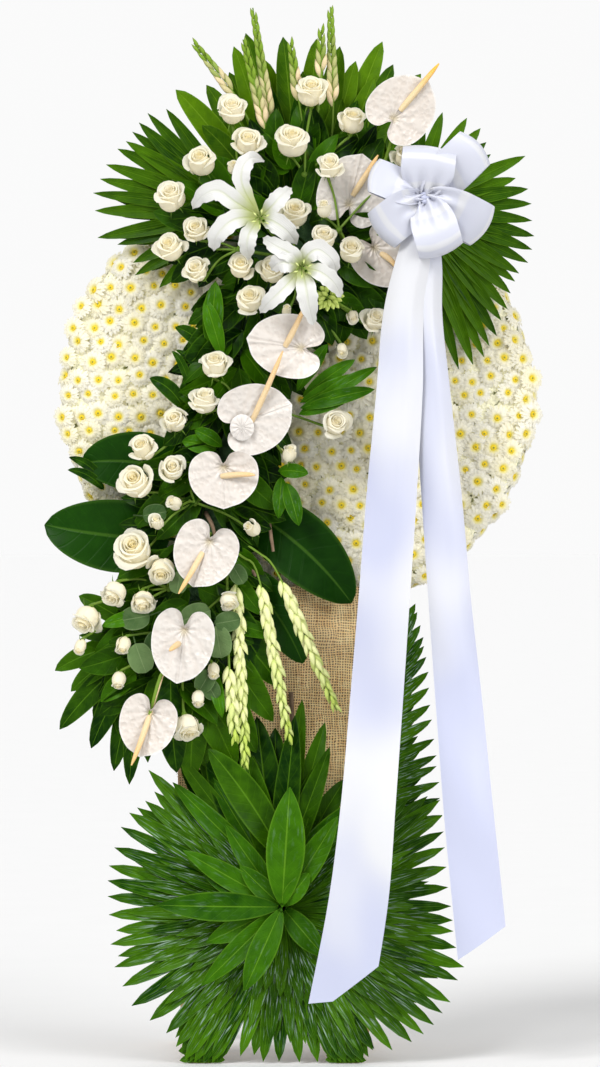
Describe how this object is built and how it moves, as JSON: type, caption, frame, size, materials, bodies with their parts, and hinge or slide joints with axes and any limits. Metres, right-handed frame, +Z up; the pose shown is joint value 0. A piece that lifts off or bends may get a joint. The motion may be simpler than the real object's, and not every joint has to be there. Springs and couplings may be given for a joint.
{
  "type": "standing funeral flower arrangement",
  "caption": "Funeral tribute on a burlap-fronted wooden stand: oval daisy disc with roses, anthuriums, lilies, bud spikes, palm fans and a white satin ribbon bow",
  "frame": {"origin": "on the floor, below the middle of the box round the whole arrangement", "axes": "+Z up, the flowers face -Y, +X to the right as seen from the front"},
  "size_m": [0.8822, 0.5974, 1.859],
  "materials": {
    "wood": "planed softwood, unvarnished",
    "burlap": "coarse open weave, matt",
    "foam": "matt floral foam",
    "daisy": "matt petals with yellow centres",
    "leaf": "waxy leaf with a satin sheen",
    "palm": "pleated glossy palm leaf",
    "rose": "soft cream petals on green stems",
    "anthurium": "waxy pearl spathe with a peach spadix",
    "lily": "satin white petals",
    "bud_spike": "smooth lime-cream buds",
    "ribbon": "white satin"
  },
  "bodies": {
    "root": {"runner_left": "wood", "post_left": "wood", "brace_left": "wood", "runner_right": "wood", "post_right": "wood", "brace_right": "wood", "shelf": "wood", "high_rail": "wood", "foam_disc": "foam", "daisy_field": "daisy", "burlap_front": "burlap", "ribbon_bow": "ribbon", "ribbon_tail_left": "ribbon", "ribbon_tail_right": "ribbon", "lily_1": "lily", "lily_2": "lily", "anthurium_1": "anthurium", "anthurium_2": "anthurium", "anthurium_3": "anthurium", "anthurium_4": "anthurium", "anthurium_5": "anthurium", "anthurium_6": "anthurium", "anthurium_7": "anthurium", "anthurium_8": "anthurium", "anthurium_9": "anthurium", "rose_spray_top_left": "rose", "rose_spray_top": "rose", "rose_spray_right": "rose", "rose_spray_mid_left": "rose", "rose_spray_mid": "rose", "rose_spray_cascade_1": "rose", "rose_spray_cascade_2": "rose", "rose_spray_cascade_3": "rose", "rose_spray_cascade_4": "rose", "bud_spikes_top_left": "bud_spike", "bud_spikes_top_middle": "bud_spike", "bud_spike_top_right": "bud_spike", "bud_spikes_hanging_left": "bud_spike", "bud_spike_hanging_middle": "bud_spike", "bud_spike_hanging_right": "bud_spike", "large_leaf_left": "leaf", "large_leaf_left_rear": "leaf", "large_leaf_right": "leaf", "large_leaf_low": "leaf", "base_rosette": "leaf", "base_tall_leaves": "leaf", "top_leaves": "leaf", "fill_leaves_top": "leaf", "fill_leaves_cascade": "leaf", "trailing_leaves": "leaf", "tall_frond": "palm", "palm_fan_upper_left": "palm", "palm_fan_upper_right": "palm", "palm_fan_base_left": "palm", "palm_fan_base_low_left": "palm", "palm_fan_base_low": "palm", "palm_fan_base_low_right": "palm", "foam_block_top": "foam", "foam_block_cascade": "foam", "foam_block_base": "foam"}
  },
  "joints": []
}
